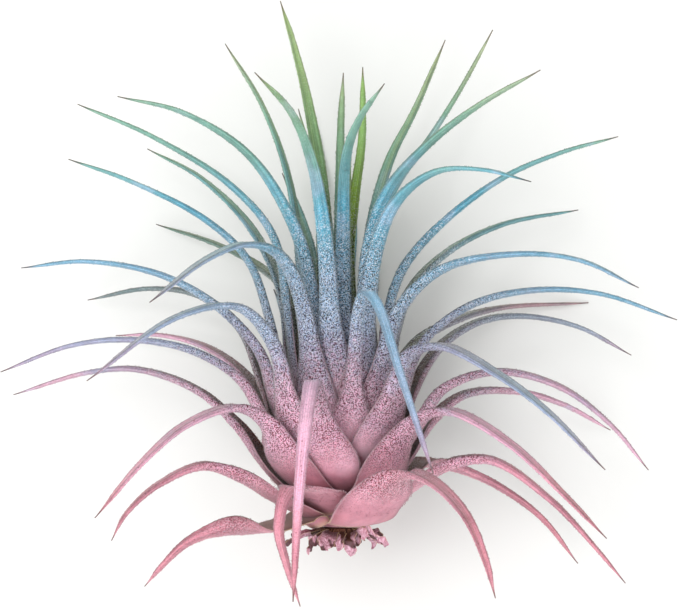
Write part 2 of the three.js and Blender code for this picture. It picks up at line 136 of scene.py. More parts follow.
# Torn layers of one dry scale: turn round the stub, stretch, fall and twist against its row
SCALE_LAYERS = ((0, 1.0, 0, 0), (-20, 0.75, 10, 75), (14, 0.6, -6, -60))

# Places in the noise that the three parts of a dent are read from
DENT_OFFSETS = ((7.3, 1.9, 4.6), (31.7, 12.4, 58.1), (73.2, 45.8, 22.6))


def lerp(start: float, end: float, share: float) -> float:
    """Returns the value at a share of the way from start to end."""
    return start + (end - start) * share


def smoothstep(value: float, low: float, high: float) -> float:
    """Returns 0 below low, 1 above high and a smooth rise between them."""
    share = min(max((value - low) / (high - low), 0.0), 1.0)
    return share * share * (3 - 2 * share)


def linear(code: str) -> Color:
    """Turns a display colour such as "#c98f9a" into the linear colour that a shader takes.

    Args:
        code: Hash sign and six hexadecimal digits.

    Returns:
        Red, green, blue and an alpha of 1.
    """
    parts = [int(code[i:i + 2], 16) / 255 for i in (1, 3, 5)]
    red, green, blue = (
        part / 12.92 if part <= 0.04045 else ((part + 0.055) / 1.055) ** 2.4 for part in parts
    )
    return red, green, blue, 1.0


class Slot(Enum):
    """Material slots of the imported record."""

    LOWER = "leaf_lower"
    MIDDLE = "leaf_middle"
    UPPER = "leaf_upper"
    WOOD = "dead_wood"
    SCALE = "dry_scale"


@dataclass(frozen=True)
class Placement:
    """Where the stem's foot stands in the part's frame."""

    axis_height: float = 26.0
    foot_x: float = 0.1854
    foot_y: float = -39.4682
    sunk: float = 0.4

    def to_metres(self, point: Vector) -> Vector:
        """Moves a point from the stem's own frame to the part's, in metres."""
        return (point + Vector((self.foot_x, self.foot_y, -self.sunk))) * MM


@dataclass(frozen=True)
class Table:
    """How the table bends the leaves that reach it."""

    clearance: float = 0.5
    softness: float = 1.5
    flattening: float = 0.75
    trim: float = 0.4
    free: float = 8.0

    def level(self, height: float) -> float:
        """Raises a height softly where the table is."""
        over = (height - self.clearance) / self.softness
        softened = over if over > self.free else math.log1p(math.exp(over))
        return self.clearance + self.softness * softened

    def pressed(self, level: float) -> float:
        """Returns how far the table turns a leaf flat: 0 in the air, 1 on the table."""
        over = (level - self.clearance) / self.softness
        return min(max(math.exp(-over), 0.0), 1.0)


@dataclass(frozen=True)
class StemSizes:
    """Tapered stem that the leaves grow from."""

    foot: float = -0.5
    top: float = 24.0
    foot_radius: float = 4.6
    top_radius: float = 1.8
    foot_share: float = 0.8
    core_top: float = 40.0
    core_radius: float = 1.3
    seat_gap: float = 0.3

    def radius(self, height: float) -> float:
        """Returns the stem's radius at a height over its foot."""
        return lerp(self.foot_radius, self.top_radius, min(max(height / self.top, 0.0), 1.0))


@dataclass(frozen=True)
class LeafSizes:
    """Sizes that all leaves share, from the oldest leaf to the youngest."""

    count: int = len(LEAF_ROWS)
    bud_leaves: int = 3
    slot_leaves: int = 18
    bud_root_share: float = 0.4
    first_azimuth: float = 206.0
    golden_angle: float = 137.508
    lowest_root: float = -0.5
    highest_root: float = 21.0
    sheath_step: float = 4.0
    long_sheath: float = 5.0
    sheath_slope: Pair = (1.6, 0.6)
    sheath_end: Pair = (8.0, 14.0)
    blade_start: Pair = (18.0, 36.0)
    flare: Pair = (5.0, 1.5)
    flare_place: float = 8.0
    spread_down: Pair = (17.0, 9.0)
    spread_up: Pair = (9.0, 8.0)
    blade_half_width: float = 2.2
    blade_taper: float = 0.8
    tip_half_width: float = 0.3
    root_narrowing: Pair = (0.25, 0.4)
    root_length: float = 12.0
    channel_angle: float = 1.0
    sheath_thickness: float = 0.75
    blade_thickness: float = 1.2
    tip_thickness: float = 0.6
    thickest_place: float = 20.0
    point_length: float = 7.0
    point_share: float = 0.3
    flattest_bend: float = 1e-3


PLACEMENT = Placement()
TABLE = Table()
STEM = StemSizes()
LEAF = LeafSizes()


class Curve:
    """Centripetal Catmull-Rom curve through points, measured by its length."""

    DIVISIONS = 200
    TANGENT_STEP = 1e-4

    def __init__(self, points: list[Vector]) -> None:
        """Keeps the points, with one more at each end, and measures the curve.

        Args:
            points: Places that the curve passes through, in order.
        """
        first, last = points[0] * 2 - points[1], points[-1] * 2 - points[-2]
        self.points = [first, *points, last]
        self.spans = len(points) - 1
        walked = [self.point(i / self.DIVISIONS) for i in range(self.DIVISIONS + 1)]
        self.lengths = [0.0]
        for before, after in zip(walked, walked[1:]):
            self.lengths.append(self.lengths[-1] + (after - before).length)

    def point(self, place: float) -> Vector:
        """Finds the point at a place from 0 to 1, which every span shares equally.

        Args:
            place: Share of the way, counted in spans.

        Returns:
            The point there.
        """
        span = min(int(place * self.spans), self.spans - 1)
        weight = place * self.spans - span
        p0, p1, p2, p3 = self.points[span:span + 4]
        d0, d1, d2 = (math.sqrt((b - a).length) for a, b in ((p0, p1), (p1, p2), (p2, p3)))
        leave = ((p1 - p0) / d0 - (p2 - p0) / (d0 + d1) + (p2 - p1) / d1) * d1
        arrive = ((p2 - p1) / d1 - (p3 - p1) / (d1 + d2) + (p3 - p2) / d2) * d1
        square = (p2 - p1) * 3 - leave * 2 - arrive
        cube = (p1 - p2) * 2 + leave + arrive
        return p1 + (leave + (square + cube * weight) * weight) * weight

    def place_at(self, share: float) -> float:
        """Turns a share of the curve's length into a place for point().

        Args:
            share: Share of the length, from 0 to 1.

        Returns:
            The place there.
        """
        target = share * self.lengths[-1]
        at = min(max(bisect_right(self.lengths, target) - 1, 0), self.DIVISIONS - 1)
        before, after = self.lengths[at], self.lengths[at + 1]
        return (at + (target - before) / (after - before)) / self.DIVISIONS

    def tangent(self, place: float) -> Vector:
        """Returns the curve's direction at a place, as a unit vector."""
        before = max(place - self.TANGENT_STEP, 0.0)
        after = min(place + self.TANGENT_STEP, 1.0)
        return (self.point(after) - self.point(before)).normalized()


@dataclass(frozen=True)
class Station:
    """Cross-section of a swept blade at one distance along it."""

    share: float
    distance: float
    middle: Vector
    tangent: Vector
    across: Vector
    half_width: float
    thickness: float
    bend: float

    def place(self, side: float, depth: float) -> Vector:
        """Finds a point of the section.

        Args:
            side: Place across the blade, -1 and 1 at its margins.
            depth: -1 on the outer face and 1 on the inner face.

        Returns:
            The point, in millimetres from the foot of the stem.
        """
        radius = 1 / max(self.bend, LEAF.flattest_bend)
        angle = side * self.half_width / radius
        inward = depth * self.thickness / 2
        inside = self.across.cross(self.tangent)
        point = self.middle + self.across * ((radius - inward) * math.sin(angle))
        point += inside * (radius - (radius - inward) * math.cos(angle))
        point.z = max(point.z, TABLE.trim)
        return point

    def normal(self, side: float, depth: float) -> Vector:
        """Finds the direction that the skin looks in.

        Args:
            side: Place across the blade, -1 and 1 at its margins.
            depth: -1 on the outer face and 1 on the inner face.

        Returns:
            A unit vector.
        """
        angle = side * self.half_width * max(self.bend, LEAF.flattest_bend)
        inside = self.across.cross(self.tangent)
        inward = inside * math.cos(angle) - self.across * math.sin(angle)
        sideways = self.across * math.cos(angle) + inside * math.sin(angle)
        thinness = self.thickness / (2 * self.half_width)
        return (inward * depth + sideways * side * thinness).normalized()


@dataclass(frozen=True)
class Airbrush:
    """Where the dye lies: on all that faced the sprayer, and least on the leaves behind."""

    direction: Vector = Vector((0.0, -0.6, 0.8))
    facing: Pair = (-0.05, 0.6)
    front: Pair = (-0.55, 0.35)
    behind: Pair = (0.9, 0.75)
    behind_rise: Pair = (30.0, 42.0)
    inside_reach: Pair = (10.0, 55.0)
    inside_front: Pair = (0.3, 0.7)
    mist: float = 0.55
    mist_reach: Pair = (12.0, 28.0)
    first_hidden: int = 8
    frontmost: Pair = (0.75, 0.97)

    def dye(self, leaf: "Leaf", station: Station, side: float, depth: float) -> float:
        """Says how thick the dye lies on a place of a leaf.

        Args:
            leaf: Leaf that is asked about.
            station: Cross-section of the place.
            side: Its place across the blade.
            depth: -1 on the outer face and 1 on the inner face.

        Returns:
            0 for bare skin and 1 for the thickest dye.
        """
        facing = smoothstep(station.normal(side, depth).dot(self.direction), *self.facing)
        toward = math.sin(math.radians(leaf.root_azimuth))
        facing = lerp(facing, 1.0, smoothstep(toward, *self.frontmost))
        facing = max(facing, self.mist * smoothstep(station.distance, *self.mist_reach))
        front = smoothstep(toward, *self.front)
        behind = lerp(*self.behind, smoothstep(station.middle.y, *self.behind_rise))
        if depth > 0 and leaf.order >= self.first_hidden:
            reached = smoothstep(station.distance, *self.inside_reach)
            reached = max(reached, smoothstep(toward, *self.inside_front))
            facing *= lerp(1.0, reached, depth)
        tip_dyed = lerp(1.0, leaf.tip_dyed, smoothstep(station.middle.y, *leaf.TIP_RISE))
        return facing * lerp(behind, 1.0, front) * leaf.dyed * tip_dyed


AIRBRUSH = Airbrush()


class Leaf:
    """Path and cross-sections of one leaf.

    The tables give what differs on single leaves, by their order. Pairs are limits of a smooth
    step, and those of the grain's start and full strength are the oldest and youngest leaf's.
    """

    BREADTHS = {6: 0.6, 14: 0.8, 27: 0.6, 47: 1.3, 48: 0.8, 49: 0.85, 52: 0.7}
    ROLLS = {0: 25}
    DYED = {
        20: 0.8, 21: 0.45, 26: 0.4, 28: 0.7, 33: 0.8, 44: 0.5,
        47: 0.5, 49: 0.12, 50: 0.4, 51: 0.3, 52: 0.7,
    }
    TIPS_DYED = {40: 0.25, 41: 0.85, 43: 0.85, 46: 0.75}
    TIP_RISE = (60, 80)
    GREENS = {21: 0, 26: 0.2, 44: 0.9, 47: 0.85, 49: 1.0, 50: 0.6, 51: 0.6, 52: 0.6}
    GREEN_RISE = (25, 65)
    USUAL_GREEN = (0.05, 0.45)
    LIFTS = {13: -14, 14: 4, 17: 5, 19: 0.5, 22: 16, 25: 7, 27: 14, 28: -14, 32: -7}
    LIFTED_SHARE = (0.4, 0.85)
    GRAIN_START = (7, 4)
    GRAIN_FULL = (16, 12)
    HANGING = (-0.3, 0.5)
    SMOOTHER_SHARE = (0.4, 0.7)
    BLADE_GRAIN = 0.2
    SMOOTHER_RISE = (46, 62)
    UPPER_GRAIN = 0.3

    def __init__(self, order: int) -> None:
        """Lays out the leaf's path.

        Args:
            order: Place of the leaf in LEAF_ROWS, 0 for the oldest.
        """
        self.order = order
        self.age = order / (LEAF.count - 1)
        self.in_bud = order >= LEAF.count - LEAF.bud_leaves
        shift, self.veer, self.path = LEAF_ROWS[order]
        self.root_azimuth = LEAF.first_azimuth - LEAF.golden_angle * order + shift
        self.breadth = self.BREADTHS.get(order, 1.0)
        self.roll = math.radians(self.ROLLS.get(order, 0.0))
        self.dyed = self.DYED.get(order, 1.0)
        self.tip_dyed = self.TIPS_DYED.get(order, 1.0)
        self.azimuths: list[float] = []
        self.curve = Curve(self._controls())
        self.length = self.curve.lengths[-1]

    def _controls(self) -> list[Vector]:
        """Places the points of the path and keeps the azimuth of each.

        Returns:
            The points from the root to the tip.
        """
        height = lerp(LEAF.lowest_root, LEAF.highest_root, self.age)
        radius = STEM.radius(height)
        seated = radius + STEM.seat_gap + LEAF.sheath_thickness / 2
        reach = radius * LEAF.bud_root_share if self.in_bud else seated
        points = [self._placed(reach, height, self.root_azimuth)]
        if self.path[0][1] - height > LEAF.long_sheath:
            lean = LEAF.sheath_step * lerp(*LEAF.sheath_slope, self.age)
            points.append(self._placed(reach + lean, height + LEAF.sheath_step, self.root_azimuth))
        for i, (free_reach, rise) in enumerate(self.path):
            share = i / (len(self.path) - 1)
            azimuth = self.root_azimuth + self.veer * share * share
            points.append(self._placed(free_reach, rise, azimuth))
        return points

    def _placed(self, reach: float, height: float, azimuth: float) -> Vector:
        """Places a point over the table and keeps its azimuth.

        Args:
            reach: Distance from the stem's axis.
            height: Height over the stem's foot.
            azimuth: Its turn round the stem, in degrees.

        Returns:
            The point.
        """
        self.azimuths.append(azimuth)
        angle = math.radians(azimuth)
        level = TABLE.level(PLACEMENT.axis_height + reach * math.sin(angle))
        return Vector((reach * math.cos(angle), height, level))

    def half_width(self, distance: float) -> float:
        """Works out half the leaf's width.

        Args:
            distance: Distance along the leaf.

        Returns:
            Half the width there.
        """
        narrowing = lerp(*LEAF.root_narrowing, self.age)
        opened = 1 - narrowing * (1 - smoothstep(distance, 0, LEAF.root_length))
        left = max(0.0, 1 - distance / self.length)
        blade = LEAF.blade_half_width * left ** LEAF.blade_taper * opened * self.breadth
        if distance < LEAF.flare_place:
            spread = lerp(*LEAF.spread_down, self.age)
        else:
            spread = lerp(*LEAF.spread_up, self.age) * min(1.0, self.breadth)
        bulge = math.exp(-((distance - LEAF.flare_place) / spread) ** 2)
        width = LEAF.tip_half_width + blade + lerp(*LEAF.flare, self.age) * bulge
        return width * self.pointing(distance)

    def pointing(self, distance: float) -> float:
        """Returns the share of the width that the fine point leaves at a distance."""
        done = smoothstep(distance, self.length - LEAF.point_length, self.length)
        return 1 - (1 - LEAF.point_share) * done * done

    def thickness(self, distance: float) -> float:
        """Works out the leaf's thickness.

        Args:
            distance: Distance along the leaf.

        Returns:
            The thickness there.
        """
        thickening = smoothstep(distance, lerp(*LEAF.sheath_end, self.age), LEAF.thickest_place)
        thick = lerp(LEAF.sheath_thickness, LEAF.blade_thickness, thickening)
        thinning = smoothstep(distance, LEAF.thickest_place, self.length)
        return lerp(thick, LEAF.tip_thickness, thinning) * self.pointing(distance)

    def station(self, share: float) -> Station:
        """Works out the cross-section at a share of the leaf's length.

        Args:
            share: 0 at the root and 1 at the tip.

        Returns:
            The cross-section there.
        """
        place = self.curve.place_at(share)
        distance = share * self.length
        middle, tangent = self.curve.point(place), self.curve.tangent(place)
        spot = place * (len(self.azimuths) - 1)
        before = min(int(spot), len(self.azimuths) - 2)
        azimuth = math.radians(
            lerp(self.azimuths[before], self.azimuths[before + 1], spot - before)
        )
        pressed = TABLE.pressed(middle.z)
        start, end = lerp(*LEAF.sheath_end, self.age), lerp(*LEAF.blade_start, self.age)
        blade_share = smoothstep(distance, start, end)
        turn = Matrix.Rotation(self.roll * blade_share, 3, tangent)
        across = turn @ Vector((-math.sin(azimuth), 0, math.cos(azimuth)))
        across.z *= 1 - pressed
        across = (across - tangent * across.dot(tangent)).normalized()
        half_width, thickness = self.half_width(distance), self.thickness(distance)
        reach = math.hypot(middle.x, middle.z - PLACEMENT.axis_height)
        sheath = max(0.0, tangent.y) / max(reach, half_width)
        blade = min(LEAF.channel_angle / half_width, 1 / thickness)
        bend = lerp(sheath, blade, blade_share) * (1 - TABLE.flattening * pressed)
        return Station(share, distance, middle, tangent, across, half_width, thickness, bend)

    def green(self, station: Station) -> float:
        """Returns how green the bare skin is: 0 for olive brown and 1 for bright green."""
        usual = lerp(*self.USUAL_GREEN, smoothstep(station.middle.y, *self.GREEN_RISE))
        return self.GREENS.get(self.order, usual)

    def lift(self, station: Station) -> float:
        """Returns how far the dye's bands are drawn out along the blade, in millimetres."""
        return self.LIFTS.get(self.order, 0) * smoothstep(station.share, *self.LIFTED_SHARE)

    def grain(self, station: Station) -> float:
        """Says how grainy the trichomes make the skin.

        Args:
            station: Cross-section that is asked about.

        Returns:
            0 for smooth skin and 1 for the grainiest.
        """
        start, full = lerp(*self.GRAIN_START, self.age), lerp(*self.GRAIN_FULL, self.age)
        started = smoothstep(station.distance, start, full)
        hanging = smoothstep(-station.tangent.y, *self.HANGING)
        out = max(smoothstep(station.share, *self.SMOOTHER_SHARE), hanging)
        up = smoothstep(station.middle.y, *self.SMOOTHER_RISE)
        return started * lerp(1.0, self.BLADE_GRAIN, out) * lerp(1.0, self.UPPER_GRAIN, up)


def dent_at(spot: Vector) -> Vector:
    """Returns a smooth dent at a place in sizes of a crumple, the same on each run."""
    return Vector(noise.noise(spot + Vector(offset)) for offset in DENT_OFFSETS)


def unit_tube(sides: int, segments: int) -> Shape:
    """Makes a closed tube of radius 1 along Z, from -0.5 to 0.5.

    Args:
        sides: Faces round the tube.
        segments: Faces along the tube.

    Returns:
        A new bmesh, which the caller frees.
    """
    tube = bmesh.new()
    bmesh.ops.create_cone(
        tube, cap_ends=True, cap_tris=False, segments=sides, radius1=1, radius2=1, depth=1
    )
    upright = [e for e in tube.edges if abs(e.verts[0].co.z - e.verts[1].co.z) > 0.5]
    bmesh.ops.subdivide_edges(tube, edges=upright, cuts=segments - 1)
    return tube


def to_object(
    name: str, shape: Shape, material: Material, smooth: bool = True
) -> bpy.types.Object:
    """Turns a bmesh into an object at the origin and frees the bmesh.

    Args:
        name: Name of the object and its mesh.
        shape: Finished shape, in metres.
        material: Its only material.
        smooth: Whether its faces are shaded smooth.

    Returns:
        The linked object.
    """
    for face in shape.faces:
        face.smooth = smooth
    mesh = bpy.data.meshes.new(name)
    shape.to_mesh(mesh)
    shape.free()
    mesh.materials.append(material)
    made = bpy.data.objects.new(name, mesh)
    bpy.context.scene.collection.objects.link(made)
    return made


@dataclass
class SkinLayers:
    """Vertex attributes that the leaf's finish reads.

    skin_place holds the share along the leaf, the face (0 inner, 1 outer), the closeness to
    the margin and 1 on a trichome. skin_tone holds the dye, the green, the grain and the lift
    of the dye's bands in tens of millimetres.
    """

    shape: Shape
    place: bmesh.types.BMLayerItem = field(init=False)
    tone: bmesh.types.BMLayerItem = field(init=False)

    def __post_init__(self) -> None:
        """Adds the two layers to the shape."""
        self.place = self.shape.verts.layers.float_color.new("skin_place")
        self.tone = self.shape.verts.layers.float_color.new("skin_tone")

    def write(
        self, verts: Iterable[bmesh.types.BMVert], leaf: Leaf, station: Station, side: float,
        depth: float, trichome: float = 0.0,
    ) -> None:
        """Writes both layers at the vertices of one place.

        Args:
            verts: Vertices of the shape.
            leaf: Leaf that they belong to.
            station: Cross-section that they stand on.
            side: Their place across the blade.
            depth: -1 on the outer face and 1 on the inner face.
            trichome: 1 for the vertices of a trichome.
        """
        dye = AIRBRUSH.dye(leaf, station, side, depth)
        place = (station.share, 0.5 - 0.5 * depth, abs(side), trichome)
        lift = leaf.lift(station) / LIFT_UNIT
        tone = (dye, leaf.green(station), leaf.grain(station), lift)
        for vert in verts:
            vert[self.place] = place
            vert[self.tone] = tone


@dataclass
class Trichomes:
    """Tiny scales of a leaf's skin that are large enough to have a shape of their own.

    The first one is doubled over and over, and each of them is then set in its place. Pairs
    are the least and the most of a random draw.
    """

    doublings: int = 10
    sides: int = 4
    radius: Pair = (0.06, 0.12)
    height: Pair = (0.10, 0.22)
    sink: float = 0.03
    margin_share: float = 0.3
    margin_depth: Pair = (-0.5, 0.3)
    margin_lean: Pair = (0.2, 0.9)
    face_side: Pair = (-0.92, 0.92)
    face_lean: Pair = (0.1, 0.8)
    first_share: float = 0.12
    last_share: float = 0.93
    crowding: float = 1.3
    stations: int = 300

    def grow(self, shape: Shape, layers: SkinLayers, leaf: Leaf, seed: int) -> None:
        """Adds the trichomes of one leaf to its shape.

        Args:
            shape: The leaf's shape, in metres.
            layers: Its vertex attributes.
            leaf: Path and cross-sections of the leaf.
            seed: Seed of the random draws.
        """
        draw = random.Random(seed)
        first = bmesh.ops.create_cone(
            shape, cap_ends=True, cap_tris=False, segments=self.sides, radius1=1, radius2=0, depth=1
        )
        geom = list(first["verts"])
        geom += {edge for vert in geom for edge in vert.link_edges}
        geom += {face for vert in first["verts"] for face in vert.link_faces}
        for _ in range(self.doublings):
            geom += bmesh.ops.duplicate(shape, geom=geom)["geom"]
        feet = [
            item for item in geom
            if isinstance(item, bmesh.types.BMFace) and len(item.verts) == self.sides
        ]
        steps = [(i / (self.stations - 1)) ** self.crowding for i in range(self.stations)]
        stations = [leaf.station(lerp(self.first_share, self.last_share, step)) for step in steps]
        for foot in feet:
            verts = {vert for edge in foot.edges for vert in edge.verts}
            verts |= {vert for edge in foot.verts[0].link_edges for vert in edge.verts}
            self._seat(verts, layers, leaf, stations, draw)

    def _seat(
        self, verts: set[bmesh.types.BMVert], layers: SkinLayers, leaf: Leaf,
        stations: list[Station], draw: random.Random,
    ) -> None:
        """Sets one trichome on the margin or on the outer face, clear of the table.

        Args:
            verts: Its vertices, which are still where they are on a trichome of unit size.
            layers: The leaf's vertex attributes.
            leaf: Path and cross-sections of the leaf.
            stations: Cross-sections that it may stand on.
            draw: Source of random numbers.
        """
        while True:
            station = draw.choice(stations)
            height = draw.uniform(*self.height)
            if draw.random() < self.margin_share:
                side, depth = draw.choice((-1.0, 1.0)), draw.uniform(*self.margin_depth)
                out = station.across * side + station.tangent * draw.uniform(*self.margin_lean)
            else:
                side = draw.uniform(*self.face_side)
                depth = -math.sqrt(1 - side * side)
                out = station.normal(side, depth) + station.tangent * draw.uniform(*self.face_lean)
            out.normalize()
            foot = station.place(side, depth) + out * (height / 2 - self.sink)
            if foot.z > TABLE.trim + height:
                break
        width = draw.uniform(*self.radius)
        spot = Matrix.Translation(PLACEMENT.to_metres(foot))
        turn = out.to_track_quat("Z", "Y").to_matrix().to_4x4()
        spin = Matrix.Rotation(draw.uniform(0, math.pi), 4, "Z")
        size = Matrix.Diagonal((width * MM, width * MM, height * MM, 1))
        to_skin = spot @ turn @ spin @ size
        for vert in verts:
            vert.co = to_skin @ vert.co
        layers.write(verts, leaf, station, side, depth, trichome=1.0)


class Piece:
    """Piece of the plant that stands for a solid. Each kind makes a shape of its own."""

    SMOOTH = True

    def shape(self) -> Shape:
        """Makes the piece's shape, in metres."""
        raise NotImplementedError

    def settle(self, name: str, material: Material, slot: Slot, node: str) -> None:
        """Adds the piece and lets it ride on the plant in place of its solid.

        Args:
            name: Name of the object.
            material: Its finish.
            slot: Material slot of the solid. It is not used.
            node: Solid that it stands for.
        """
        piece = to_object(name, self.shape(), material, self.SMOOTH)
        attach(piece, BODY)
        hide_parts(node)
        LOG.info("%s: %d faces", piece.name, len(piece.data.polygons))


@dataclass
class LeafPiece(Piece):
    """Fine mesh of one leaf."""

    leaf: Leaf
    sides: int = 20
    segments: int = 84
    ripple: float = 0.035
    ripple_scale: float = 0.22
    ripple_step: float = 3.7
    trichomes: Trichomes = field(default_factory=Trichomes)

    def _rippled(self, station: Station) -> Station:
        """Lets the width of a cross-section wander a little along the leaf."""
        seat = Vector((station.distance * self.ripple_scale, self.leaf.order * self.ripple_step, 0))
        width = station.half_width * (1 + self.ripple * noise.noise(seat))
        return replace(station, half_width=width)

    def shape(self) -> Shape:
        """Shapes the leaf ring by ring and sets its trichomes.

        Returns:
            The shape, in metres.
        """
        shape = unit_tube(self.sides, self.segments)
        layers = SkinLayers(shape)
        rings: dict[int, Station] = {}
        for vert in list(shape.verts):
            side, depth, share = vert.co.x, -vert.co.y, vert.co.z + 0.5
            ring = round(share * self.segments)
            if ring not in rings:
                rings[ring] = self._rippled(self.leaf.station(min(max(share, 0.0), 1.0)))
            vert.co = PLACEMENT.to_metres(rings[ring].place(side, depth))
            layers.write([vert], self.leaf, rings[ring], side, depth)
        self.trichomes.grow(shape, layers, self.leaf, seed=self.leaf.order)
        return shape


class Graph:
    """Node tree of one material, with short calls for the nodes it uses."""

    def __init__(self, name: str) -> None:
        """Starts an empty material.

        Args:
            name: Name of the material.
        """
        self.material = bpy.data.materials.new(name)
        self.material.use_nodes = True
        self.tree = self.material.node_tree
        self.tree.nodes.clear()

    def node(
        self, kind: str, inputs: dict[int | str, object] | None = None, **settings: object
    ) -> bpy.types.Node:
        """Adds a node.

        Args:
            kind: Name of its type, after the ShaderNode that all of them start with.
            inputs: Output to link to each input, or the input's plain value.
            settings: Values of the node's own settings.

        Returns:
            The node.
        """
        node = self.tree.nodes.new(f"ShaderNode{kind}")
        for name, value in settings.items():
            setattr(node, name, value)
        for key, value in (inputs or {}).items():
            if isinstance(value, bpy.types.NodeSocket):
                self.tree.links.new(value, node.inputs[key])
            else:
                node.inputs[key].default_value = value
        return node

    def math(self, operation: str, first: object, second: object) -> Socket:
        """Adds a Math node and returns its output."""
        return self.node("Math", {0: first, 1: second}, operation=operation).outputs[0]

    def times(self, *values: object) -> Socket:
        """Multiplies values."""
        return reduce(partial(self.math, "MULTIPLY"), values)

    def plus(self, *values: object) -> Socket:
        """Adds values up."""
        return reduce(partial(self.math, "ADD"), values)

    def minus(self, first: object, second: object) -> Socket:
        """Subtracts the second value from the first."""
        return self.math("SUBTRACT", first, second)

    def band(
        self, value: object, low: float, high: float, start: float = 0.0, end: float = 1.0
    ) -> Socket:
        """Adds a smooth step from start to end, while the value goes from low to high."""
        inputs = dict(enumerate((value, low, high, start, end)))
        return self.node("MapRange", inputs, interpolation_type="SMOOTHSTEP").outputs[0]

    def measure(self, value: object, low: float, high: float) -> Socket:
        """Maps a value from low to high to the range from 0 to 1, with straight lines."""
        return self.node("MapRange", {0: value, 1: low, 2: high}).outputs[0]

    def mix(self, share: object, first: object, second: object, blend: str = "MIX") -> Socket:
        """Mixes two colours by the share of the second."""
        inputs = {0: share, 6: first, 7: second}
        return self.node("Mix", inputs, data_type="RGBA", blend_type=blend).outputs[2]

    def between(self, share: object, first: str, second: str) -> Socket:
        """Mixes two display colours by the share of the second."""
        return self.mix(share, linear(first), linear(second))

    def scaled(self, color: Socket, factor: Socket) -> Socket:
        """Multiplies a colour by a number."""
        gray = self.node("CombineXYZ", dict.fromkeys(range(3), factor)).outputs[0]
        return self.mix(1.0, color, gray, "MULTIPLY")

    def attribute(self, name: str) -> bpy.types.Node:
        """Adds a node that reads a vertex attribute."""
        return self.node("Attribute", attribute_name=name)

    def stretched(self, place: Socket, scale: Triple) -> Socket:
        """Scales a place, so that a pattern runs longer along one axis."""
        return self.node("Mapping", {"Vector": place, "Scale": scale}).outputs[0]

    def split(self, vector: Socket) -> tuple[Socket, ...]:
        """Splits a vector or a colour into its three numbers."""
        return tuple(self.node("SeparateXYZ", {0: vector}).outputs)

    def object_place(self) -> Socket:
        """Returns the place on the object, in metres."""
        return self.node("TexCoord").outputs["Object"]

    def clouds(self, place: Socket, size: float, detail: float = 2.0) -> Socket:
        """Adds smooth noise from 0 to 1, by the size of its blotches and its finer layers."""
        inputs = {"Vector": place, "Scale": 1 / (size * MM), "Detail": detail}
        return self.node("TexNoise", inputs).outputs["Fac"]

    def cells(self, place: Socket, size: float) -> tuple[Socket, Socket]:
        """Adds random cells, and returns the distance to their middle and their colour."""
        node = self.node("TexVoronoi", {"Vector": place, "Scale": 1 / (size * MM)})
        return node.outputs["Distance"], node.outputs["Color"]

    def ramp(self, value: Socket, stops: Iterable[tuple[float, str]]) -> Socket:
        """Adds a colour ramp.

        Args:
            value: Place on the ramp, from 0 to 1.
            stops: Places and display colours, in order.

        Returns:
            The colour.
        """
        node = self.node("ValToRGB", {0: value})
        elements = node.color_ramp.elements
        while len(elements) > 1:
            elements.remove(elements[-1])
        for i, (place, code) in enumerate(stops):
            element = elements[0] if i == 0 else elements.new(place)
            element.position = place
            element.color = linear(code)
        return node.outputs[0]

    def bump(self, height: Socket, depth: float, strength: float) -> Socket:
        """Adds relief from a height of 0 to 1, by its depth in millimetres and its strength."""
        inputs = {"Height": height, "Distance": depth * MM, "Strength": strength}
        return self.node("Bump", inputs).outputs[0]

    def close(
        self, color: Socket, roughness: float, fixed: dict[str, object],
        normal: Socket | None = None,
    ) -> Material:
        """Ends the tree with its shader.

        Args:
            color: Base colour.
            roughness: Roughness.
            fixed: Plain values of other sockets of the shader.
            normal: Normal, or None for the plain surface.

        Returns:
            The finished material.
        """
        inputs = {"Base Color": color, "Roughness": roughness, **fixed}
        if normal is not None:
            inputs["Normal"] = normal
        shader = self.node("BsdfPrincipled", inputs)
        self.node("OutputMaterial", {"Surface": shader.outputs[0]})
        return self.material


@dataclass(frozen=True)
class Overlay:
    """Display colour that lies over the leaf's own where all of its bands reach.

    A band holds the name of what is measured, where it starts and ends, and its results there
    if they aren't 0 and 1. low_code is the colour on the lowest sheaths, if it is another one.
    """

    code: str
    strength: float
    bands: tuple[tuple, ...]
    low_code: str | None = None
    low_rise: Pair = (-40.0, -37.5)

    def lay(self, graph: Graph, color: Socket, found: Found) -> Socket:
        """Lays the colour over another one.

        Args:
            graph: Node tree of the leaf.
            color: Colour under it.
            found: What the bands can measure, by name.

        Returns:
            The new colour.
        """
        bands = [graph.band(found[name], *limits) for name, *limits in self.bands]
        tint = linear(self.code)
        if self.low_code:
            above = graph.band(found["height"], *self.low_rise)
            tint = graph.mix(above, linear(self.low_code), tint)
        return graph.mix(graph.times(*bands, self.strength), color, tint)


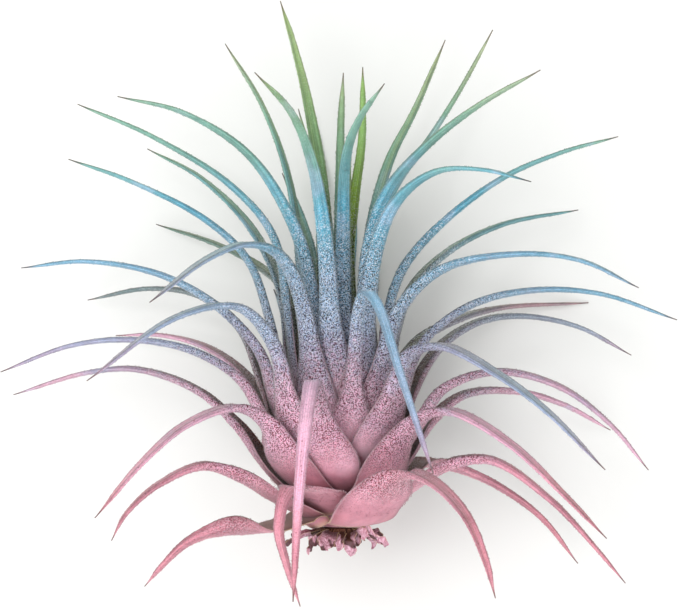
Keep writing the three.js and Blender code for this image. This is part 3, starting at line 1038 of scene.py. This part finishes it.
@dataclass(frozen=True)
class LeafSkin:
    """Dyed leaf under fine trichomes: pink at the base, blue above and green at the top.

    Heights are millimetres up the plant, and sizes are of the noise's blotches. The bands
    measure share, outer, edge, dye, green and grain on the leaf, height among the bands of
    dye, and the noise that _find adds.
    """

    stops: Stops = (
        (-50.8, "#d38d9c"), (-41.8, "#d38e9d"), (-35.8, "#c58494"), (-30.8, "#e39fb2"),
        (-25.8, "#eab0c8"), (-20.8, "#e4b3cb"), (-15.8, "#d0a7bc"), (-10.8, "#ab9fb9"),
        (-5.8, "#9eaac7"), (-0.8, "#91abc6"), (4.2, "#7eabc7"), (9.2, "#6ba7c0"), (14.2, "#5ca8c1"),
        (20.2, "#70a9b0"), (25.2, "#76a79d"), (30.2, "#7ba898"), (35.2, "#89a993"),
        (40.2, "#9eb096"), (45.2, "#b6c3a6"), (53.2, "#c3c5a4"),
    )
    stop_range: Pair = (-51.0, 53.5)
    drift: float = 16.0
    drift_sizes: Pair = (14.0, 0.5)
    patch_stretch: Triple = (1.0, 0.7, 1.0)
    patch_size: float = 6.0
    fleck_size: float = 0.75
    line_scale: Triple = (4.0, 1.5, 5.5)
    gap_size: float = 0.21
    gap_band: Pair = (0.515, 0.44)
    gap_rise: Limits = (4.0, 16.0, 1.0, 0.7)
    gap_depth: float = -0.08
    gap_strength: float = 0.7
    gap_range: Pair = (-26.0, 6.0)
    gap_stops: Stops = ((0.0, "#86404f"), (0.7, "#4c3b44"), (1.0, "#40574d"))
    frost_size: float = 0.18
    uneven_size: float = 1.8
    uneven_band: Limits = (0.3, 0.7, 0.92, 1.06)
    line_band: Limits = (0.36, 0.56, 0.8, 1.15)
    lined_grain: Pair = (0.8, 0.3)
    lined_share: Limits = (0.2, 0.35, 0.15, 1.0)
    # Painted shade: the colour darkens towards the margins of every leaf, for the shade on the
    # rounded sides of the blades.
    painted_shade_margin_band: Limits = (0.68, 1.0, 1.0, 0.62)
    brown: tuple[float, float, str, str] = (-22.0, -2.0, "#7b5a55", "#696c4c")
    leafy: tuple[float, float, str, str] = (14.0, 30.0, "#84a01e", "#84ac5c")
    patch: Overlay = Overlay(
        "#b4c6e2", 1.0, (("patch", 0.56, 0.68), ("height", -30.0, -18.0, 0.0, 0.35))
    )
    # Painted light: the feet of the sheaths above the lowest ones turn pale pink, a painted glow
    # that lifts the shade in the well between the sheaths.
    painted_glow_foot: Overlay = Overlay("#ffc6d6", 0.75, (("share", 0.2, 0.08), ("height", -33.0, -29.0)))
    # Painted shade: the inner faces near the roots of the sheaths turn dark red-brown, where the
    # sheaths and the stem shade each other.
    painted_shade_deep_inside: Overlay = Overlay(
        "#5e2420", 0.8,
        (("outer", 0.6, 0.2), ("share", 0.22, 0.08), ("height", -38.0, -33.0, 0.2, 1.0)),
    )
    seam: Overlay = Overlay(
        "#a03440", 0.6, (("share", 0.045, 0.0), ("outer", 0.4, 0.8)), low_code="#cbb78c"
    )
    blush: Overlay = Overlay(
        "#b04a54", 0.2, (("share", 0.17, 0.04), ("edge", 0.35, 0.85), ("outer", 0.4, 0.8))
    )
    frost: Overlay = Overlay(
        "#eaf0f8", 1.0,
        (("frost", 0.575, 0.635), ("height", -30.0, 4.0, 0.3, 0.7), ("grain", 0.0, 0.7, 0.15, 1.0)),
    )
    fleck: Overlay = Overlay(
        "#7a3440", 0.6,
        (
            ("fleck_chance", 0.66, 0.76), ("fleck_distance", 0.26, 0.14),
            ("height", -8.0, -24.0), ("share", 0.2, 0.35),
        ),
    )
    tip: Overlay = Overlay("#35282c", 0.85, (("share", 0.95, 0.99),))
    rim: Overlay = Overlay(
        "#dfb4bf", 0.5, (("edge", 0.93, 1.0), ("share", 0.35, 0.2)), low_code="#d8c798"
    )

    def material(self) -> Material:
        """Builds the leaf's material.

        Returns:
            The material.
        """
        graph = Graph("leaf_skin")
        found = self._find(graph)
        color = self._dyed(graph, found)
        # Lays the painted glow on the sheath feet and the painted shade inside the sheaths, with
        # the seam and the blush.
        for overlay in (self.painted_glow_foot, self.painted_shade_deep_inside, self.seam, self.blush):
            color = overlay.lay(graph, color, found)
        color = self._grained(graph, color, found)
        lined = graph.scaled(color, graph.band(found["lines"], *self.line_band))
        bladed = graph.times(
            graph.band(found["grain"], *self.lined_grain),
            graph.band(found["share"], *self.lined_share),
        )
        color = self.fleck.lay(graph, graph.mix(bladed, color, lined), found)
        # Painted shade: darkens the colour towards the leaf margins.
        color = graph.scaled(color, graph.band(found["edge"], *self.painted_shade_margin_band))
        for overlay in (self.tip, self.rim):
            color = overlay.lay(graph, color, found)
        relief = graph.times(found["gap"], found["grain"])
        normal = graph.bump(relief, self.gap_depth, self.gap_strength)
        fixed = {
            "Sheen Weight": 0.15, "Sheen Roughness": 0.5, "Specular IOR Level": 0.3,
            "Subsurface Weight": 0.4, "Subsurface Scale": 0.002,
            "Subsurface Radius": (1.0, 0.7, 0.6),
        }
        return graph.close(color, 0.75, fixed, normal)

    def _find(self, graph: Graph) -> Found:
        """Adds the nodes that the colours depend on.

        Args:
            graph: Node tree of the leaf.

        Returns:
            Their outputs by name. A gap is 1 in the dark crooked places between trichomes.
        """
        place = graph.object_place()
        skin, tone = graph.attribute("skin_place"), graph.attribute("skin_tone")
        found = dict(zip(("share", "outer", "edge"), graph.split(skin.outputs["Color"])))
        found |= zip(("dye", "green", "grain"), graph.split(tone.outputs["Color"]))
        found["trichome"] = skin.outputs["Alpha"]
        broad, fine = (graph.minus(graph.clouds(place, size), 0.5) for size in self.drift_sizes)
        drift = graph.times(graph.plus(broad, graph.times(fine, found["grain"])), self.drift)
        along = graph.times(graph.split(place)[1], 1 / MM)
        found["height"] = graph.plus(along, graph.times(tone.outputs["Alpha"], LIFT_UNIT), drift)
        found["patch"] = graph.clouds(graph.stretched(place, self.patch_stretch), self.patch_size)
        found["lines"] = graph.clouds(
            graph.stretched(skin.outputs["Color"], self.line_scale), 1 / MM
        )
        found["fleck_distance"], hue = graph.cells(place, self.fleck_size)
        found["fleck_chance"] = graph.split(hue)[0]
        found["gap"] = graph.band(graph.clouds(place, self.gap_size, 0.0), *self.gap_band)
        found["frost"] = graph.clouds(place, self.frost_size, 0.0)
        found["uneven"] = graph.clouds(place, self.uneven_size)
        return found

    def _dyed(self, graph: Graph, found: Found) -> Socket:
        """Lays the dye over the bare skin.

        Args:
            graph: Node tree of the leaf.
            found: Outputs by name.

        Returns:
            The colour.
        """
        low, high = self.stop_range
        stops = [((height - low) / (high - low), code) for height, code in self.stops]
        dyed = graph.ramp(graph.measure(found["height"], low, high), stops)
        brown, leafy = (
            graph.between(graph.band(found["height"], start, end), lower, upper)
            for start, end, lower, upper in (self.brown, self.leafy)
        )
        bare = graph.mix(found["green"], brown, leafy)
        return graph.mix(found["dye"], bare, self.patch.lay(graph, dyed, found))

    def _grained(self, graph: Graph, color: Socket, found: Found) -> Socket:
        """Darkens the gaps between trichomes, where the deeper dye shows, and adds frost.

        Args:
            graph: Node tree of the leaf.
            color: Colour of the trichomes.
            found: Outputs by name.

        Returns:
            The colour with its grain.
        """
        tint = graph.ramp(graph.measure(found["height"], *self.gap_range), self.gap_stops)
        gaps = graph.times(
            found["gap"], graph.minus(1.0, found["trichome"]),
            graph.band(found["height"], *self.gap_rise), found["grain"],
        )
        color = graph.mix(gaps, color, graph.mix(1.0, color, tint, "MULTIPLY"))
        color = self.frost.lay(graph, color, found)
        return graph.scaled(color, graph.band(found["uneven"], *self.uneven_band))


@dataclass(frozen=True)
class DeadWood:
    """Dry brown fibre of the root stub."""

    dark: str = "#3a2018"
    light: str = "#8a5f4c"
    patch: str = "#b5757f"
    fibre_size: float = 0.35
    fibre_stretch: Triple = (1.0, 0.25, 1.0)
    fibre_band: Pair = (0.35, 0.65)
    patch_size: float = 1.6
    patch_band: Limits = (0.5, 0.75, 0.0, 0.5)

    def material(self) -> Material:
        """Builds the stub's material.

        Returns:
            The material.
        """
        graph = Graph("dead_wood")
        place = graph.object_place()
        fibres = graph.clouds(graph.stretched(place, self.fibre_stretch), self.fibre_size, 5.0)
        color = graph.between(graph.band(fibres, *self.fibre_band), self.dark, self.light)
        patches = graph.band(graph.clouds(place, self.patch_size), *self.patch_band)
        color = graph.mix(patches, color, linear(self.patch))
        return graph.close(color, 0.9, {"Specular IOR Level": 0.2}, graph.bump(fibres, 0.35, 0.9))


@dataclass(frozen=True)
class PaperyScale:
    """Dry, dyed leaf scale with brown torn places."""

    dyed: str = "#bd8596"
    pale: str = "#e6bfd0"
    torn: str = "#43241a"
    rim: str = "#c9b187"
    vein_size: float = 0.3
    vein_stretch: Triple = (1.0, 0.3, 1.0)
    vein_band: Pair = (0.35, 0.65)
    torn_share: Pair = (0.5, 0.1)
    torn_size: float = 2.2
    torn_band: Pair = (0.5, 0.57)
    torn_strength: float = 0.85
    rim_band: Limits = (0.8, 1.0, 0.0, 0.6)

    def material(self) -> Material:
        """Builds the dry scales' material.

        Returns:
            The material.
        """
        graph = Graph("papery_scale")
        place = graph.object_place()
        share, _, edge = graph.split(graph.attribute("skin_place").outputs["Color"])
        veins = graph.clouds(graph.stretched(place, self.vein_stretch), self.vein_size, 4.0)
        color = graph.between(graph.band(veins, *self.vein_band), self.dyed, self.pale)
        patches = graph.band(graph.clouds(place, self.torn_size, 1.0), *self.torn_band)
        dead = graph.plus(graph.band(share, *self.torn_share), patches)
        color = graph.mix(graph.times(dead, self.torn_strength), color, linear(self.torn))
        color = graph.mix(graph.band(edge, *self.rim_band), color, linear(self.rim))
        return graph.close(color, 0.8, {"Specular IOR Level": 0.3}, graph.bump(veins, 0.25, 0.8))


@dataclass(frozen=True)
class TableTop:
    """Pale, almost plain surface."""

    shade: str = "#eeeeec"
    blotch: str = "#e6e7e5"
    blotch_size: float = 60.0

    def material(self) -> Material:
        """Builds the floor's material.

        Returns:
            The material.
        """
        graph = Graph("table_top")
        clouds = graph.clouds(graph.object_place(), self.blotch_size)
        color = graph.between(clouds, self.shade, self.blotch)
        return graph.close(color, 0.85, {"Specular IOR Level": 0.2})


@dataclass
class StemPiece(Piece):
    """Stem and rolled heart of the bud, with the ends of its leaves round it."""

    sides: int = 32
    ring_cuts: int = 5
    merge_reach: float = 1e-4
    long_edge: float = 5.0
    dyed_rise: Pair = (5.0, 3.0)
    least_dye: float = 0.1
    skin_share: float = 0.3
    green: float = 0.3
    grain: float = 0.1

    def shape(self) -> Shape:
        """Spins the stem's profile round its axis and splits its long faces.

        Returns:
            The shape, in metres.
        """
        shape = bmesh.new()
        profile = (
            (0, STEM.foot), (STEM.foot_radius * STEM.foot_share, STEM.foot),
            (STEM.foot_radius, 0), (STEM.top_radius, STEM.top),
            (STEM.core_radius, STEM.core_top), (0, STEM.core_top + STEM.core_radius),
        )
        height = PLACEMENT.axis_height
        verts = [shape.verts.new(Vector((reach, rise, height))) for reach, rise in profile]
        edges = [shape.edges.new(pair) for pair in zip(verts, verts[1:])]
        bmesh.ops.spin(
            shape, geom=verts + edges, cent=(0, 0, height), axis=(0, 1, 0),
            angle=math.tau, steps=self.sides, use_merge=True,
        )
        bmesh.ops.remove_doubles(shape, verts=shape.verts, dist=self.merge_reach)
        long_edges = [
            e for e in shape.edges if abs(e.verts[0].co.y - e.verts[1].co.y) > self.long_edge
        ]
        bmesh.ops.subdivide_edges(shape, edges=long_edges, cuts=self.ring_cuts)
        bmesh.ops.recalc_face_normals(shape, faces=shape.faces)
        # The operators above leave the faces in an order that changes from run to run.
        centers = {face: [round(x, 3) for x in face.calc_center_median()] for face in shape.faces}
        for index, face in enumerate(sorted(shape.faces, key=centers.get)):
            face.index = index
        shape.faces.sort()
        layers = SkinLayers(shape)
        for vert in shape.verts:
            bared = smoothstep(vert.co.y, *self.dyed_rise)
            vert.co = PLACEMENT.to_metres(vert.co)
            vert[layers.place] = (self.skin_share, bared, 0.0, 0.0)
            vert[layers.tone] = (lerp(self.least_dye, 1.0, bared), self.green, self.grain, 0.0)
        return shape


@dataclass
class RootStub(Piece):
    """Short woody stub with ribs and a torn end."""

    radii: Limits = (3.2, 3.5, 2.7, 2.2, 1.2)
    length: float = 3.4
    sides: int = 45
    rings: int = 24
    ribs: int = 3
    roughness: float = 0.12
    twist: float = 5.0
    crumple: float = 0.22
    crumple_size: float = 0.9

    def radius(self, down: float, azimuth: float) -> float:
        """Works out the stub's radius.

        Args:
            down: 0 at its top and 1 at its torn end.
            azimuth: Place round it, in radians.

        Returns:
            Radius in millimetres.
        """
        place = down * (len(self.radii) - 1)
        before = min(int(place), len(self.radii) - 2)
        plain = lerp(self.radii[before], self.radii[before + 1], place - before)
        return plain * (1 + self.roughness * math.sin(self.ribs * azimuth + self.twist * down))

    def shape(self) -> Shape:
        """Shapes a ribbed and dented tube.

        Returns:
            The shape, in metres.
        """
        shape = unit_tube(self.sides, self.rings)
        top = STEM.foot - STEM.seat_gap
        for vert in shape.verts:
            down, azimuth = 0.5 - vert.co.z, math.atan2(-vert.co.y, vert.co.x)
            radius = self.radius(down, azimuth)
            x, z = vert.co.x * radius, PLACEMENT.axis_height - vert.co.y * radius
            spot = Vector((x, top - self.length * down, z))
            dent = dent_at(spot / self.crumple_size) * self.crumple
            dent.y *= down
            vert.co = PLACEMENT.to_metres(spot + dent)
        bmesh.ops.recalc_face_normals(shape, faces=shape.faces)
        return shape


@dataclass
class DryScale(Piece):
    """Papery scale that runs out from the stub and curls down at its tip."""

    SMOOTH = False

    azimuth: float
    length: float
    half_width: float
    droop: float
    twist: float
    seed: int
    sides: int = 10
    segments: int = 11
    thickness: float = 0.35
    seat: float = -1.4
    bend: float = 0.4
    droops: Limits = (0.6, 1.0, 1.4)
    root_twist: float = 0.3
    root_width: float = 0.9
    tip_width: float = 0.3
    belly: float = 0.35
    crumple: float = 0.9
    crumple_size: float = 1.0
    tear: float = 0.6
    tear_scale: float = 4.0
    tear_gap: float = 5.0
    edge_share: float = 0.45

    def _curve(self) -> Curve:
        """Lays out the scale's path.

        Returns:
            The path, in millimetres from the foot of the stem.
        """
        angle = math.radians(self.azimuth)
        outward = Vector((math.cos(angle), 0, math.sin(angle)))
        stub = RootStub()
        start = stub.radii[1] * (1 + stub.roughness) + STEM.seat_gap
        points = []
        for i, part in enumerate(self.droops):
            share = i / (len(self.droops) - 1)
            fall = math.radians(self.droop) * part
            point = outward * (start + self.length * share * math.cos(fall))
            point.y = self.seat - self.length * share * math.sin(fall)
            point.z += PLACEMENT.axis_height
            points.append(point)
        return Curve(points)

    def _station(self, curve: Curve, share: float) -> Station:
        """Works out the scale's cross-section.

        Args:
            curve: Path of the scale.
            share: 0 at the root and 1 at the tip.

        Returns:
            The cross-section there.
        """
        place = curve.place_at(share)
        tangent = curve.tangent(place)
        angle = math.radians(self.azimuth)
        sideways = Vector((-math.sin(angle), 0, math.cos(angle)))
        turned = math.radians(self.twist) * (self.root_twist + share)
        across = Matrix.Rotation(turned, 3, tangent) @ sideways
        across = (across - tangent * across.dot(tangent)).normalized()
        outline = lerp(self.root_width, self.tip_width, share)
        outline += self.belly * math.sin(math.pi * share)
        return Station(
            share, share * curve.lengths[-1], curve.point(place), tangent, across,
            self.half_width * outline, self.thickness, self.bend,
        )

    def shape(self) -> Shape:
        """Shapes a thin blade with torn margins and crumples it.

        Returns:
            The shape, in metres.
        """
        shape = unit_tube(self.sides, self.segments)
        layer = shape.verts.layers.float_color.new("skin_place")
        curve = self._curve()
        for vert in shape.verts:
            side, depth, share = vert.co.x, -vert.co.y, vert.co.z + 0.5
            thin = lerp(1.0, self.edge_share, side * side)
            station = self._station(curve, min(max(share, 0.0), 1.0))
            margin = math.copysign(self.tear_gap, side)
            torn = noise.noise(Vector((share * self.tear_scale, margin, self.seed)))
            spot = station.place(side * (1 + self.tear * torn), depth * thin)
            dent = dent_at(spot / self.crumple_size) * self.crumple * share
            vert.co = PLACEMENT.to_metres(spot + dent)
            vert[layer] = (share, 0.5 - 0.5 * depth, abs(side), 0.0)
        bmesh.ops.recalc_face_normals(shape, faces=shape.faces)
        return shape


@dataclass(frozen=True)
class AreaLamp:
    """Square soft light. Its place and size are metres, and its power is watts."""

    name: str
    place: Triple
    size: float
    power: float

    def hang(self, aim: Vector) -> None:
        """Adds the light.

        Args:
            aim: Point that it looks at, in metres.
        """
        lamp = bpy.data.lights.new(self.name, "AREA")
        lamp.shape = "SQUARE"
        lamp.size = self.size
        lamp.energy = self.power
        made = bpy.data.objects.new(self.name, lamp)
        made.location = self.place
        made.rotation_euler = (aim - Vector(self.place)).to_track_quat("-Z", "Y").to_euler()
        bpy.context.scene.collection.objects.link(made)


@dataclass
class Studio:
    """Camera over the plant, pale floor and soft light. clip and floor_half are metres."""

    camera_height: float = 420.0
    axis_height: float = 25.6
    center_x: float = 0.01
    center_y: float = -1.39
    frame_width: float = 118.8
    sensor: float = 36.0
    clip: Pair = (0.01, 10.0)
    floor_half: float = 0.9
    sky: float = 0.85
    aim_height: float = 20.0
    lamps: tuple[AreaLamp, ...] = (
        AreaLamp("key_light", (-0.3, 0.12, 0.78), 0.45, 3.1),
        AreaLamp("fill_light", (-0.1, -0.42, 0.6), 0.5, 1.2),
    )

    def set_camera(self) -> None:
        """Adds the camera, which looks straight down on the plant."""
        data = bpy.data.cameras.new("camera")
        data.sensor_width = self.sensor
        data.lens = self.sensor * self.camera_height / self.frame_width
        data.clip_start, data.clip_end = self.clip
        camera = bpy.data.objects.new("camera", data)
        height = self.axis_height + self.camera_height
        camera.location = Vector((self.center_x, self.center_y, height)) * MM
        bpy.context.scene.collection.objects.link(camera)
        bpy.context.scene.camera = camera

    def lay_floor(self) -> None:
        """Adds the table top under the plant."""
        shape = bmesh.new()
        bmesh.ops.create_grid(shape, x_segments=2, y_segments=2, size=self.floor_half)
        to_object("table_top", shape, TableTop().material())

    def light(self) -> None:
        """Adds the lamps and an even, pale sky."""
        for lamp in self.lamps:
            lamp.hang(Vector((0, 0, self.aim_height)) * MM)
        world = bpy.data.worlds.new("studio")
        world.use_nodes = True
        background = world.node_tree.nodes["Background"]
        background.inputs["Color"].default_value = (1.0, 1.0, 1.0, 1.0)
        background.inputs["Strength"].default_value = self.sky
        bpy.context.scene.world = world
        bpy.context.scene.view_settings.view_transform = "Standard"


def leaf_slot(order: int) -> Slot:
    """Returns the slot of a leaf, which goes by its place on the stem."""
    return (Slot.LOWER, Slot.MIDDLE, Slot.UPPER)[min(order // LEAF.slot_leaves, 2)]


def build_plant() -> None:
    """Builds every piece of the plant."""
    skin = LeafSkin().material()
    grown = LEAF.count - LEAF.bud_leaves
    for order in range(grown):
        node = f"leaf_{order + 1:02d}"
        LeafPiece(Leaf(order)).settle(f"{node}_skin", skin, leaf_slot(order), node)
    StemPiece().settle("stem_core", skin, Slot.UPPER, "stem")
    for order in range(grown, LEAF.count):
        name = f"bud_leaf_{order - grown + 1}"
        LeafPiece(Leaf(order)).settle(name, skin, Slot.UPPER, "stem")
    RootStub().settle("stub_fibre", DeadWood().material(), Slot.WOOD, "root_stub")
    papery = PaperyScale().material()
    for i, (azimuth, length, half_width, droop, twist) in enumerate(SCALE_ROWS, start=1):
        for layer, (turned, stretch, fall, wrung) in enumerate(SCALE_LAYERS):
            scale = DryScale(
                azimuth + turned, length * stretch, half_width * stretch, droop + fall,
                twist + wrung, seed=10 * i + layer,
            )
            name = f"papery_scale_{i}_{layer + 1}"
            scale.settle(name, papery, Slot.SCALE, f"dry_scale_{i}")


def main() -> None:
    """Builds the studio and the plant."""
    logging.basicConfig(level=logging.INFO, format="%(name)s: %(message)s")
    studio = Studio()
    studio.set_camera()
    studio.lay_floor()
    studio.light()
    build_plant()


if __name__ == "__main__":
    main()
